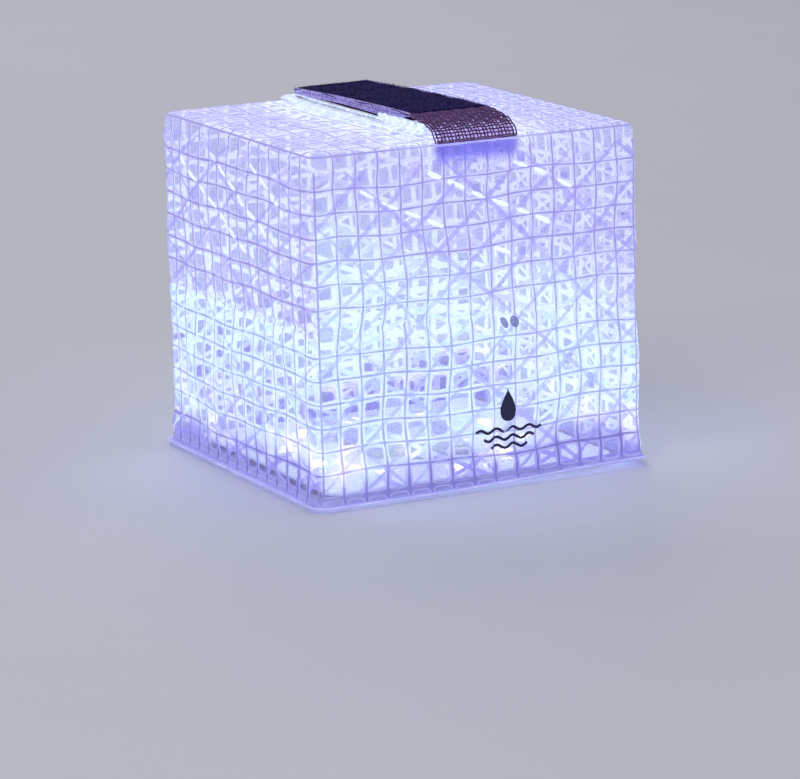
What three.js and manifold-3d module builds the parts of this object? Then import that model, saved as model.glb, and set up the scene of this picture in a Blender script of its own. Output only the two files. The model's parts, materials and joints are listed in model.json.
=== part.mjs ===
// Floating solar pool light: a fabric-film cube that folds flat.
// Millimetres, +Z up. The origin is the middle of the footprint, on the surface it stands on.
// The front wall faces -Y, and the carrying strap runs along Y over the top.

import * as THREE from "three";
import { mergeVertices } from "three/addons/utils/BufferGeometryUtils.js";
import Module from "manifold-3d";

// ---- Driving dimensions ----

// Film cube
const WIDTH = 108; // outside width of the four walls
const FILM = 0.4; // thickness of the laminated sailcloth
const BAND_HINGE_Z = 5; // where the front and back walls turn in over the base band
const PANEL_HEIGHT = 48; // half of a front or back wall, fold to fold
const SIDE_STEP = 0.5; // the side walls fold this much nearer to the base and to the top
const FOLD_GAP = 0.15; // from a fold line to the film on each side of it
const GUSSET_CLEARANCE = 1; // from a gusset's slanted edge to the corner diagonal
const WEB_GAP = 0.4; // between a corner web and the gusset beside it
const CORNER_GAP = 0.3; // between a side wall and the front or back wall
const CORNER_RADIUS = 3; // of the base band and the top band, seen from above
const TOP_EDGE = 1.1; // height of the top sheet with its rounded edge

// Base flange
const FLANGE_REACH = 3; // how far the welded flange stands out past the walls
const FLANGE_RADIUS = 7;
const BASE_SHEET = 0.6;
const FOOT_Z = 0.9; // underside of the band's turned-out foot

// Solar and light module
const CELL_COUNT = 6;
const CELL_FIELD = [84, 78]; // the area that the cell strips share
const CELL_GAP = 1.2;
const CELL_Z = 0.8;
const CELL_THICKNESS = 0.3;
const LAMINATE = [92, 84, 1];
const LAMINATE_Z = 1.3;
const MODULE_SHIFT = 5; // the laminate sits back from the front, which leaves room for the button
const BOARD_SIDE = 96;
const BOARD_Z = 2.6;
const BOARD_THICKNESS = 0.8;
const PART_Z = 3.6; // underside of everything mounted on the board
const LED_COUNT = 10;
const LED_RING = 36;
const LED_SIZE = [3.5, 2.8, 0.8];
const BATTERY = [34, 30, 3];
const LEAD_RADIUS = 0.5;

// Power button, reached through the base sheet
const BUTTON_X = 0;
const BUTTON_Y = -42;
const BUTTON_RADIUS = 4;
const BUTTON_Z = 0.8;
const BUTTON_HEIGHT = 0.6;
const SWITCH_HEIGHT = 0.6;

// Strap: hook-and-loop tape in two halves
const STRAP_WIDTH = 26;
const WEBBING = 0.8;
const PILE = 0.8; // thickness of the hook tape and of the loop tape
const PATCH_WIDTH = 28;
const PATCH_HEIGHT = 6.4;

// ---- Derived places ----

const HALF = WIDTH / 2;
const INNER = HALF - FILM;
const CREASE_Z = BAND_HINGE_Z + PANEL_HEIGHT;
const TOP_HINGE_Z = CREASE_Z + PANEL_HEIGHT;
const HEIGHT = TOP_HINGE_Z + BAND_HINGE_Z;
const SIDE_LOW_Z = BAND_HINGE_Z - SIDE_STEP;
const SIDE_HIGH_Z = TOP_HINGE_Z + SIDE_STEP;
const SIDE_PANEL = PANEL_HEIGHT + SIDE_STEP;
const BOARD_TOP_Z = BOARD_Z + BOARD_THICKNESS;
const PATCH_TOP_Z = HEIGHT - 0.6;
const PATCH_Y = HALF + 0.3;

const object = new THREE.Group();
const wasm = await Module();
wasm.setup();

// ---- Finishes ----

const FILM_FINISH = { color: 0xc9cbf2, roughness: 0.35, metalness: 0 };
const CLEAR_FINISH = { color: 0xdfe4f6, roughness: 0.2, metalness: 0 };
const BOARD_FINISH = { color: 0xf2f3f0, roughness: 0.4, metalness: 0 };
const LED_FINISH = { color: 0xfff6d8, roughness: 0.25, metalness: 0 };
const CELL_FINISH = { color: 0x10183a, roughness: 0.15, metalness: 0 };
const LAMINATE_FINISH = { color: 0xe9ebf0, roughness: 0.45, metalness: 0 };
const BATTERY_FINISH = { color: 0xb9bdc4, roughness: 0.35, metalness: 0.9 };
const CHIP_FINISH = { color: 0x16171a, roughness: 0.5, metalness: 0 };
const WEBBING_FINISH = { color: 0x171336, roughness: 0.95, metalness: 0 };
const PILE_FINISH = { color: 0xe2ddf7, roughness: 0.95, metalness: 0 };
const HOOK_FINISH = { color: 0x5a3a44, roughness: 0.9, metalness: 0 };
const PATCH_FINISH = { color: 0x8f8fe6, roughness: 0.4, metalness: 0 };
const BUTTON_FINISH = { color: 0x3a3d46, roughness: 0.6, metalness: 0 };
const RED_FINISH = { color: 0xb01c1c, roughness: 0.6, metalness: 0 };
const BLACK_FINISH = { color: 0x1a1a1a, roughness: 0.6, metalness: 0 };

// ---- Geometry helpers ----

function add(name, geometry, finish, position = [0, 0, 0]) {
  const mesh = new THREE.Mesh(geometry, new THREE.MeshStandardMaterial(finish));
  mesh.name = name;
  mesh.position.set(...position);
  object.add(mesh);
  return mesh;
}

function roundedRectangle(width, depth, radius, Outline = THREE.Shape) {
  const x = width / 2 - radius;
  const y = depth / 2 - radius;
  const outline = new Outline();
  outline.absarc(x, -y, radius, -Math.PI / 2, 0);
  outline.absarc(x, y, radius, 0, Math.PI / 2);
  outline.absarc(-x, y, radius, Math.PI / 2, Math.PI);
  outline.absarc(-x, -y, radius, Math.PI, Math.PI * 1.5);
  outline.closePath();
  return outline;
}

function prism(shape, height, curveSegments = 6) {
  return new THREE.ExtrudeGeometry(shape, { depth: height, bevelEnabled: false, curveSegments });
}

// A low block with its upper and lower edges chamfered, standing on z = 0.
function block(width, depth, height, edge = 0.2) {
  const shape = roundedRectangle(width - 2 * edge, depth - 2 * edge, edge);
  const geometry = new THREE.ExtrudeGeometry(shape, {
    depth: height - 2 * edge,
    bevelThickness: edge,
    bevelSize: edge,
    bevelSegments: 1,
    curveSegments: 2,
  });
  return geometry.translate(0, 0, edge);
}

function squareRing(outerSide, outerRadius, innerSide, innerRadius, height) {
  const shape = roundedRectangle(outerSide, outerSide, outerRadius);
  shape.holes.push(roundedRectangle(innerSide, innerSide, innerRadius, THREE.Path));
  return prism(shape, height);
}

function solid(geometry) {
  const bare = geometry.clone();
  bare.deleteAttribute("normal");
  bare.deleteAttribute("uv");
  const merged = mergeVertices(bare, 1e-4);
  return new wasm.Manifold(
    new wasm.Mesh({
      numProp: 3,
      vertProperties: new Float32Array(merged.attributes.position.array),
      triVerts: new Uint32Array(merged.index.array),
    }),
  );
}

function join(first, second) {
  const mesh = solid(first).add(solid(second)).getMesh();
  const geometry = new THREE.BufferGeometry();
  geometry.setAttribute("position", new THREE.BufferAttribute(mesh.vertProperties, 3));
  geometry.setIndex(new THREE.BufferAttribute(mesh.triVerts, 1));
  return geometry;
}

// Turns an outline drawn in x and y into the frame's Y and Z, with its thickness along X.
function standAcrossX(geometry) {
  const turn = new THREE.Matrix4().makeBasis(
    new THREE.Vector3(0, 1, 0),
    new THREE.Vector3(0, 0, 1),
    new THREE.Vector3(1, 0, 0),
  );
  return geometry.applyMatrix4(turn);
}

// A flat tape of even thickness, STRAP_WIDTH wide in X, along a smooth line of [y, z] points.
function tape(line, thickness, width = STRAP_WIDTH, steps = 36) {
  const curve = new THREE.SplineCurve(line.map(([y, z]) => new THREE.Vector2(y, z)));
  const upper = [];
  const lower = [];
  for (let i = 0; i <= steps; i += 1) {
    const point = curve.getPointAt(i / steps);
    const along = curve.getTangentAt(i / steps);
    const across = new THREE.Vector2(-along.y, along.x).multiplyScalar(thickness / 2);
    upper.push(point.clone().add(across));
    lower.push(point.clone().sub(across));
  }
  const geometry = prism(new THREE.Shape([...lower, ...upper.reverse()]), width);
  return standAcrossX(geometry.translate(0, 0, -width / 2));
}

// ---- Film cube ----

function baseSheetAndBand() {
  const outer = WIDTH + 2 * FLANGE_REACH;
  add("base_sheet", prism(roundedRectangle(outer, outer, FLANGE_RADIUS), BASE_SHEET), CLEAR_FINISH);
  const innerRadius = CORNER_RADIUS - FILM;
  const foot = squareRing(outer, FLANGE_RADIUS, WIDTH - 2 * FILM, innerRadius, FILM);
  const bandHeight = SIDE_LOW_Z - FOLD_GAP - FOOT_Z;
  const band = squareRing(WIDTH, CORNER_RADIUS, WIDTH - 2 * FILM, innerRadius, bandHeight);
  add("base_band", join(foot, band), CLEAR_FINISH, [0, 0, FOOT_Z]);
}

function topSheetAndBand() {
  const low = SIDE_HIGH_Z + FOLD_GAP;
  const high = HEIGHT - TOP_EDGE - CORNER_GAP;
  const band = squareRing(WIDTH, CORNER_RADIUS, WIDTH - 2 * FILM, CORNER_RADIUS - FILM, high - low);
  add("top_band", band, FILM_FINISH, [0, 0, low]);
  const edge = (TOP_EDGE - FILM) / 2;
  const sheet = new THREE.ExtrudeGeometry(
    roundedRectangle(WIDTH - 2 * edge, WIDTH - 2 * edge, CORNER_RADIUS),
    { depth: FILM, bevelThickness: edge, bevelSize: edge, bevelSegments: 2, curveSegments: 6 },
  );
  add("top_sheet", sheet, FILM_FINISH, [0, 0, HEIGHT - TOP_EDGE + edge]);
}

// Front and back walls: plain rectangles that fold inwards on the middle crease.
function frontAndBackPanels() {
  const height = PANEL_HEIGHT - 2 * FOLD_GAP;
  const middleY = HALF - FILM / 2;
  for (const [wall, side] of [["front", -1], ["back", 1]]) {
    for (const [half, hingeZ] of [["lower", BAND_HINGE_Z], ["upper", CREASE_Z]]) {
      const centreZ = hingeZ + PANEL_HEIGHT / 2;
      const panel = new THREE.BoxGeometry(WIDTH, FILM, height);
      add(`${wall}_panel_${half}`, panel, FILM_FINISH, [0, side * middleY, centreZ]);
    }
  }
}

// Places an outline, drawn as [y, height above the fold], on a side wall's lower or upper half.
function sideFilm(name, outline, side, half) {
  const shape = new THREE.Shape(
    outline.map(([y, rise]) => {
      const z = half === "lower" ? SIDE_LOW_Z + rise : SIDE_HIGH_Z - rise;
      return new THREE.Vector2(y, z);
    }),
  );
  const start = side < 0 ? -HALF : INNER;
  add(name, standAcrossX(prism(shape, FILM).translate(0, 0, start)), FILM_FINISH);
}

// Side walls: a middle gusset that folds with the walls, and a pleated web at each corner.
function sideGussetsAndWebs() {
  const low = FOLD_GAP;
  const high = SIDE_PANEL - FOLD_GAP;
  const slant = INNER - GUSSET_CLEARANCE;
  const webSlant = slant + WEB_GAP;
  const corner = INNER - CORNER_GAP;
  for (const [wall, side] of [["left", -1], ["right", 1]]) {
    for (const half of ["lower", "upper"]) {
      const gusset = [
        [low - slant, low],
        [slant - low, low],
        [slant - high, high],
        [high - slant, high],
      ];
      sideFilm(`${wall}_gusset_${half}`, gusset, side, half);
      for (const [end, sign] of [["front", -1], ["back", 1]]) {
        const web = [
          [sign * (webSlant - low), low],
          [sign * corner, low],
          [sign * corner, high],
          [sign * (webSlant - high), high],
        ];
        sideFilm(`${wall}_${end}_web_${half}`, web, side, half);
      }
    }
  }
}

// ---- Solar and light module ----

function solarPanel() {
  const pitch = CELL_FIELD[0] / CELL_COUNT;
  for (let i = 0; i < CELL_COUNT; i += 1) {
    const x = (i - (CELL_COUNT - 1) / 2) * pitch;
    const cell = new THREE.BoxGeometry(pitch - CELL_GAP, CELL_FIELD[1], CELL_THICKNESS);
    const z = CELL_Z + CELL_THICKNESS / 2;
    add(`solar_cell_${i + 1}`, cell, CELL_FINISH, [x, MODULE_SHIFT, z]);
  }
  add("solar_laminate", block(...LAMINATE), LAMINATE_FINISH, [0, MODULE_SHIFT, LAMINATE_Z]);
}

function lightBoard() {
  const outline = roundedRectangle(BOARD_SIDE, BOARD_SIDE, 4);
  add("led_board", prism(outline, BOARD_THICKNESS), BOARD_FINISH, [0, 0, BOARD_Z]);
  for (let i = 0; i < LED_COUNT; i += 1) {
    const turn = ((i + 0.5) / LED_COUNT) * Math.PI * 2;
    const place = [LED_RING * Math.cos(turn), LED_RING * Math.sin(turn), PART_Z];
    add(`led_${i + 1}`, block(...LED_SIZE), LED_FINISH, place);
  }
}

function boardParts() {
  add("battery_pouch", block(...BATTERY, 0.6), BATTERY_FINISH, [0, 0, PART_Z]);
  add("charge_chip", block(5, 4, 1), CHIP_FINISH, [8, -24, PART_Z]);
  add("led_driver_chip", block(4, 4, 1), CHIP_FINISH, [-8, -24, PART_Z]);
  add("boost_inductor", block(5, 5, 1.6, 0.5), CHIP_FINISH, [0, -24, PART_Z]);
  add("input_capacitor", block(3.2, 1.6, 1), LAMINATE_FINISH, [15, -24, PART_Z]);
  add("charge_lamp", block(1.6, 0.8, 0.6), LED_FINISH, [8, -40, PART_Z]);
}

// The battery's two leads run from its rear end to pads on the board.
function batteryLeads() {
  for (const [name, side, finish] of [["red", 1, RED_FINISH], ["black", -1, BLACK_FINISH]]) {
    const z = PART_Z + LEAD_RADIUS + 0.1;
    const path = new THREE.CatmullRomCurve3([
      new THREE.Vector3(side * 2, BATTERY[1] / 2 + 0.3, z),
      new THREE.Vector3(side * 2.5, BATTERY[1] / 2 + 4, z),
      new THREE.Vector3(side * 6, BATTERY[1] / 2 + 7, z),
      new THREE.Vector3(side * 7, BATTERY[1] / 2 + 10, z),
    ]);
    const section = new THREE.Shape().absarc(0, 0, LEAD_RADIUS, 0, Math.PI * 2);
    const lead = new THREE.ExtrudeGeometry(section, {
      extrudePath: path,
      steps: 10,
      curveSegments: 4,
    });
    add(`battery_lead_${name}`, lead, finish);
  }
}

function powerButton() {
  const cap = new THREE.CylinderGeometry(BUTTON_RADIUS, BUTTON_RADIUS, BUTTON_HEIGHT, 24);
  cap.rotateX(Math.PI / 2);
  const capZ = BUTTON_Z + BUTTON_HEIGHT / 2;
  add("power_button", cap, BUTTON_FINISH, [BUTTON_X, BUTTON_Y, capZ]);
  const switchZ = BOARD_Z - 0.2 - SWITCH_HEIGHT;
  add("tact_switch", block(4.5, 4.5, SWITCH_HEIGHT, 0.15), CHIP_FINISH, [BUTTON_X, BUTTON_Y, switchZ]);
}

// ---- Strap ----

function strapPatches() {
  const patchZ = PATCH_TOP_Z - PATCH_HEIGHT / 2;
  for (const [end, side] of [["front", -1], ["back", 1]]) {
    const patch = new THREE.BoxGeometry(PATCH_WIDTH, FILM, PATCH_HEIGHT);
    add(`strap_patch_${end}`, patch, PATCH_FINISH, [0, side * (PATCH_Y + FILM / 2), patchZ]);
  }
}

// The upper half starts on the front edge and arches back, with hook tape sewn under it.
function frontStrap() {
  const line = [[-54.6, 105.9], [-53.6, 108.6], [-50, 110.5], [-43, 111.6], [-36, 112.4], [-20, 112.3],
    [-5, 112], [10, 111.7], [30, 110.9], [44, 110.4]];
  add("strap_webbing_front", tape(line, WEBBING), WEBBING_FINISH);
  const drop = WEBBING / 2 + 0.3 + PILE / 2;
  const hooks = line.filter(([y]) => y >= -20 && y < 44).map(([y, z]) => [y, z - drop]);
  add("hook_tape", tape([...hooks, [41, 110.5 - drop]], PILE), HOOK_FINISH);
}

// The lower half starts on the back edge and lies along the top, with loop tape sewn over it.
function backStrap() {
  const line = [[54.6, 105.9], [53.8, 107.1], [51, 107.3], [45, 107], [20, 106.8], [0, 106.8], [-22, 106.8]];
  add("strap_webbing_back", tape(line, WEBBING), WEBBING_FINISH);
  const rise = WEBBING / 2 + 0.3 + PILE / 2;
  const loops = line.filter(([y]) => y < 50 && y > -22).map(([y, z]) => [y, z + rise]);
  add("loop_tape", tape([...loops, [-20, 106.8 + rise]], PILE), PILE_FINISH);
}

baseSheetAndBand();
frontAndBackPanels();
sideGussetsAndWebs();
topSheetAndBand();
solarPanel();
lightBoard();
boardParts();
batteryLeads();
powerButton();
strapPatches();
frontStrap();
backStrap();

export default object;
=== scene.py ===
"""Looks of the floating pool light: gridded film walls, lit module, welded flange and tape strap."""

import json
import math

import bpy
import numpy as np
from mathutils import Matrix, Quaternion, Vector


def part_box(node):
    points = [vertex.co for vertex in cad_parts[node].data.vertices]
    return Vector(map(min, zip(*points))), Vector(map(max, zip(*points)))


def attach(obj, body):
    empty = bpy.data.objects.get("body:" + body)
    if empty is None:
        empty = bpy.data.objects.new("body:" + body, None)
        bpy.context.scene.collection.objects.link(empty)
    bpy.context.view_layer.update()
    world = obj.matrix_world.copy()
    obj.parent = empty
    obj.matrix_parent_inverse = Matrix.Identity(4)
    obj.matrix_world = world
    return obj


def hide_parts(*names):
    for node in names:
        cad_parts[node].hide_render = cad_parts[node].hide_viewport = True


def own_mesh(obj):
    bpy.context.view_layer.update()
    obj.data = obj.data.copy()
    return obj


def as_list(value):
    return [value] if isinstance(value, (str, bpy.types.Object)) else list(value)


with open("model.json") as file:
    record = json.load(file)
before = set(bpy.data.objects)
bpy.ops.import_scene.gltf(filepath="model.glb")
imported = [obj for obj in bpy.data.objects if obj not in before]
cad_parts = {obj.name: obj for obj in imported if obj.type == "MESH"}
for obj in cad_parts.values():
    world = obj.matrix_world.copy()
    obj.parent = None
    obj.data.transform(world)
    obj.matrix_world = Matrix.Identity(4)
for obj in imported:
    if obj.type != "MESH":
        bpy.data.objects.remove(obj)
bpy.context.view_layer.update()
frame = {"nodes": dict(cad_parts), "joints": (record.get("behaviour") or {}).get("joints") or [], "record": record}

MM = 0.001
TAU = 2 * math.pi


def pivot_height(joint_name):
    return next(joint["pos_m"][2] for joint in frame["joints"] if joint["name"] == joint_name)


# ---- Places, worked out from the frame ----

HALF = -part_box("front_panel_lower")[0].y
LOW_FOLD, HIGH_FOLD = pivot_height("front_base_fold"), pivot_height("front_top_fold")
SIDE_LOW_FOLD, SIDE_HIGH_FOLD = pivot_height("left_base_fold"), pivot_height("left_top_fold")
CREASE = pivot_height("back_crease")
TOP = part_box("top_sheet")[1].z
BAND_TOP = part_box("base_band")[1].z
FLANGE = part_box("base_band")[1].x - HALF
STRAP_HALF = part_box("strap_webbing_front")[1].x

CELLS = 15  # cells of the yarn grid across a wall
ROWS = 7  # rows of cells in each half of a wall
PITCH = 2 * HALF / CELLS  # spacing of the upright yarns
RISE = (HIGH_FOLD - LOW_FOLD) / 2 / ROWS * 1.03  # spacing of the level yarns
INSET = 0.8 * MM  # least distance of a yarn from a wall's upright edge
CORNER = 2.2 * MM  # radius of the film round the upright corners
TOP_EDGE = 2.6 * MM  # radius of the film over the top edges
FINE = 0.8 * MM  # size of the film's mesh squares
FLARE = 0.8 * MM  # how far the walls stand out at the foot band
FILM_GLOW = 0.43  # strength of the light painted into the film as a glow
RIB = 0.9 * MM  # spacing of the ribs in the brushed tape
FINGER = 2.0 * MM  # spacing of a solar cell's silver fingers
BUSBAR = 4.7 * MM  # spacing of its busbars

# Lowest and highest place of a yarn's thickness, measured outwards from the film.
OUTSIDE = (0.0, 0.12 * MM)
INSIDE = (-0.14 * MM, -0.06 * MM)
BEHIND = (-0.24 * MM, -0.18 * MM)
LAID_ON = (0.02 * MM, 0.07 * MM)

WALLS = {"front": 0, "right": 1, "back": 2, "left": 3}
OUT = dict(zip(WALLS, np.array(((0.0, -1.0, 0.0), (1.0, 0.0, 0.0), (0.0, 1.0, 0.0), (-1.0, 0.0, 0.0)))))
UP = np.array((0.0, 0.0, 1.0))


# ---- Mesh helpers ----


def scatter(*numbers):
    """A repeatable share from 0 to 1 for each set of numbers."""
    mixed = sum(np.asarray(n, float) * k for n, k in zip(numbers, (127.1, 311.7, 74.7, 19.3)))
    return np.mod(np.sin(mixed) * 43758.5453, 1.0)


def smooth(value, low, high):
    t = np.clip((value - low) / (high - low), 0, 1)
    return t * t * (3 - 2 * t)


def new_piece(name, points, faces, materials, indices=None, shade=True):
    mesh = bpy.data.meshes.new(name)
    mesh.from_pydata(np.asarray(points, float).tolist(), [], [list(map(int, f)) for f in faces])
    for material in materials:
        mesh.materials.append(material)
    if indices is not None:
        mesh.polygons.foreach_set("material_index", np.asarray(indices, np.int32))
    if shade:
        mesh.polygons.foreach_set("use_smooth", np.ones(len(mesh.polygons), bool))
    mesh.update()
    piece = bpy.data.objects.new(name, mesh)
    bpy.context.scene.collection.objects.link(piece)
    return piece


def grid_faces(rows, columns, wrap=False, start=0):
    """Quads of a grid whose points run along each row in turn. wrap joins the last column to the first."""
    i, j = np.meshgrid(np.arange(rows - 1), np.arange(columns - (0 if wrap else 1)), indexing="ij")
    a = i * columns + j
    b = i * columns + (j + 1) % columns
    return (start + np.stack([a, b, b + columns, a + columns], -1)).reshape(-1, 4)


def closed_sheet(name, upper, lower, material):
    """A thin closed sheet between two grids of points, each with shape (rows, columns, 3)."""
    rows, columns = upper.shape[:2]
    count = rows * columns
    numbers = np.arange(count).reshape(rows, columns)
    border = [*numbers[:-1, 0], *numbers[-1, :-1], *numbers[:0:-1, -1], *numbers[0, :0:-1]]
    rim = [[a, b, b + count, a + count] for a, b in zip(border, border[1:] + border[:1])]
    faces = [*grid_faces(rows, columns), *grid_faces(rows, columns, start=count)[:, ::-1], *rim]
    points = np.concatenate([upper.reshape(-1, 3), lower.reshape(-1, 3)])
    return new_piece(name, points, faces, [material])


def fasten(pieces, body):
    for piece in pieces:
        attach(piece, body)


def write_cells(piece, u, v, wall):
    """Stores each point's place in the yarn grid, in cells, for the film's pattern."""
    u, v = np.ravel(u), np.ravel(v)
    values = np.stack([u, v, np.full_like(u, wall)], -1).reshape(-1)
    attribute = piece.data.attributes.new("cell", "FLOAT_VECTOR", "POINT")
    attribute.data.foreach_set("vector", values.astype(np.float32))


class Gather:
    """Gathers parts, each of points and faces, into one mesh."""

    def __init__(self):
        self.points, self.faces, self.indices, self.count = [], [], [], 0

    def add(self, points, faces, indices=None):
        self.points.append(np.asarray(points, float))
        self.faces += [[k + self.count for k in face] for face in faces]
        self.indices += [0] * len(faces) if indices is None else list(indices)
        self.count += len(points)

    def piece(self, name, *materials, shade=True):
        return new_piece(name, np.concatenate(self.points), self.faces, materials, self.indices, shade)


class Strips(Gather):
    """Closed ribbons that follow lines of points, with the second material on their inner faces."""

    def add(self, line, normals, width, low, high):
        if len(line) < 2:
            return
        along = np.gradient(line, axis=0)
        along /= np.maximum(np.linalg.norm(along, axis=1, keepdims=True), 1e-12)
        across = np.cross(along, normals)
        across *= (np.asarray(width) / 2 * np.ones(len(line)))[:, None] / np.maximum(
            np.linalg.norm(across, axis=1, keepdims=True), 1e-12)
        corners = [line + across * side + normals * level
                   for side, level in ((1, high), (-1, high), (-1, low), (1, low))]
        faces = grid_faces(len(line), 4, wrap=True)[:, [0, 3, 2, 1]].tolist()
        inner = [k % 4 == 2 for k in range(len(faces))]
        last = 4 * (len(line) - 1)
        ends = [[0, 1, 2, 3], [last + 3, last + 2, last + 1, last]]
        super().add(np.stack(corners, 1).reshape(-1, 3), faces + ends, inner + [False, False])

    def piece(self, name, outer, inner):
        return super().piece(name, outer, inner, shade=False)


def tube(line, radius, sides=6):
    """Points and faces of a closed tube along a line of points."""
    line = np.asarray(line, float)
    along = np.gradient(line, axis=0)
    along /= np.maximum(np.linalg.norm(along, axis=1, keepdims=True), 1e-12)
    guide = np.where(np.abs(along[:, 2:3]) > 0.9, [[1.0, 0, 0]], [[0, 0, 1.0]])
    first = np.cross(along, guide)
    first /= np.linalg.norm(first, axis=1, keepdims=True)
    second = np.cross(along, first)
    turn = np.arange(sides) / sides * TAU
    radius = np.asarray(radius) * np.ones(len(line))
    ring = first[:, None] * np.cos(turn)[None, :, None] + second[:, None] * np.sin(turn)[None, :, None]
    points = (line[:, None] + ring * radius[:, None, None]).reshape(-1, 3)
    faces = grid_faces(len(line), sides, wrap=True).tolist()
    last = (len(line) - 1) * sides
    faces += [list(range(sides - 1, -1, -1)), [last + k for k in range(sides)]]
    return points, faces


# ---- Material helpers ----


class Value:
    """A number, place or colour in a material's nodes. Sums and products of values make new nodes."""

    def __init__(self, shader, socket):
        self.shader, self.socket = shader, socket

    def __add__(self, other):
        return self.shader.math("ADD", self, other)

    def __sub__(self, other):
        return self.shader.math("SUBTRACT", self, other)

    def __mul__(self, other):
        return self.shader.math("MULTIPLY", self, other)

    def __pow__(self, other):
        return self.shader.math("POWER", self, other)

    def __abs__(self):
        return self.shader.math("ABSOLUTE", self)

    def step(self, low, high, to_low=0.0, to_high=1.0):
        """A smooth step from to_low to to_high while the value goes from low to high."""
        inputs = {"Value": self, "From Min": low, "From Max": high, "To Min": to_low, "To Max": to_high}
        return self.shader.node("ShaderNodeMapRange", inputs, interpolation_type="SMOOTHSTEP")


class Shader:
    """A material with a Principled surface, and short calls for the nodes that feed it."""

    def __init__(self, name, **sockets):
        self.material = bpy.data.materials.new(name)
        self.material.use_nodes = True
        self.tree = self.material.node_tree
        self.surface = self.tree.nodes["Principled BSDF"]
        for key, value in sockets.items():
            self.surface.inputs[key.replace("_", " ")].default_value = value
        self.place = self.node("ShaderNodeTexCoord", output=3)
        self.x, self.y, self.z = self.apart(self.place)

    def node(self, kind, inputs=(), output=0, **settings):
        node = self.tree.nodes.new(kind)
        for key, value in settings.items():
            setattr(node, key, value)
        for key, value in dict(inputs).items():
            self.feed(node.inputs[key], value)
        return Value(self, node.outputs[output])

    def feed(self, socket, value):
        """Links a value to a socket, or sets a constant there. A colour has only its three parts."""
        if isinstance(value, Value):
            self.tree.links.new(value.socket, socket)
        elif socket.type == "RGBA":
            socket.default_value = (*value, 1.0)
        else:
            socket.default_value = value

    def math(self, operation, a, b=0.0):
        return self.node("ShaderNodeMath", {0: a, 1: b}, operation=operation)

    def mix(self, share, a, b):
        """Colour a where share is 0 and colour b where it's 1."""
        inputs = {0: share, 6: a, 7: b}
        return self.node("ShaderNodeMix", inputs, output=2, data_type="RGBA", clamp_factor=True)

    def noise(self, scale, detail=2.0, vector=None):
        inputs = {"Scale": scale, "Detail": detail, "Vector": vector or self.place}
        return self.node("ShaderNodeTexNoise", inputs)

    def apart(self, vector):
        """The three parts of a place."""
        return [self.node("ShaderNodeSeparateXYZ", {0: vector}, output=k) for k in range(3)]

    def made(self, bump=None, **sockets):
        """The material, with values fed to its sockets, and a bump of (height, strength, distance)."""
        for key, value in sockets.items():
            self.feed(self.surface.inputs[key.replace("_", " ")], value)
        if bump:
            normal = self.node("ShaderNodeBump", dict(zip(("Height", "Strength", "Distance"), bump)))
            self.feed(self.surface.inputs["Normal"], normal)
        return self.material


# ---- Materials ----

# Base colours of painted shade, for darker violet cells and the dim foot, and the two colours of the film's
# painted glow.
CELL_PAINTED_SHADE = (0.30, 0.27, 0.80)
FOOT_PAINTED_SHADE = (0.36, 0.33, 0.84)
LAVENDER_LIGHT = (0.57, 0.51, 0.97)
COOL_LIGHT = (0.58, 0.93, 0.95)


def film_light(shader):
    """The film's painted glow: its colour and power, and how far a place is above the dim foot, from 0 to 1.

    The painted light is cool white below and lavender and dimmer above, with warm and lamp-white spots near the
    foot and a brighter band beside the strap.
    """
    wide, deep = abs(shader.x), abs(shader.y)
    facing = (deep - wide).step(-0.002, 0.002)  # 1 on the front and back walls, 0 on the side walls
    cloud = shader.noise(26.0, 3.0) - 0.5
    z = cloud * 0.014 + shader.z
    leaning = shader.x * facing
    low = (leaning * -0.12 + z).step(0.006, 0.018)
    tilted = cloud * 0.03 + (z + leaning * 0.32)
    side_upper, front_upper = z.step(0.050, 0.056), tilted.step(0.050, 0.088)
    upper = shader.node("ShaderNodeMix", {0: facing, 2: side_upper, 3: front_upper}, data_type="FLOAT")
    patchy = shader.noise(48.0, 3.0).step(0.48, 0.66)
    near_corner = shader.math("MINIMUM", wide, deep).step(0.018, 0.046)
    warm = near_corner * z.step(0.036, 0.016) * shader.noise(75.0, 2.0).step(0.50, 0.64)
    lamps = z.step(0.006, 0.011) * z.step(0.024, 0.014) * shader.noise(85.0, 1.0).step(0.52, 0.64)
    painted_glow_by_strap = z.step(0.1015, 0.1045) * wide.step(0.034, 0.014)

    # Painted light: dimmer in the upper half, brighter beside the strap, darker at the foot.
    colour = shader.mix(upper, COOL_LIGHT, LAVENDER_LIGHT)
    colour = shader.mix(patchy * 0.55, colour, (0.60, 0.62, 1.0))
    colour = shader.mix(warm * 0.7, colour, (0.98, 0.60, 0.66))
    colour = shader.mix(low, (0.32, 0.26, 0.98), colour)
    colour = shader.mix(lamps * 0.8, colour, (1.0, 0.95, 0.86))
    colour = shader.mix(painted_glow_by_strap * 0.7, colour, (0.80, 0.97, 1.0))
    power = (low * 0.47 + 0.53 + painted_glow_by_strap * 0.45 + lamps * 0.30) * (upper * -0.22 + 1.0)
    return colour, power, low


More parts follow.
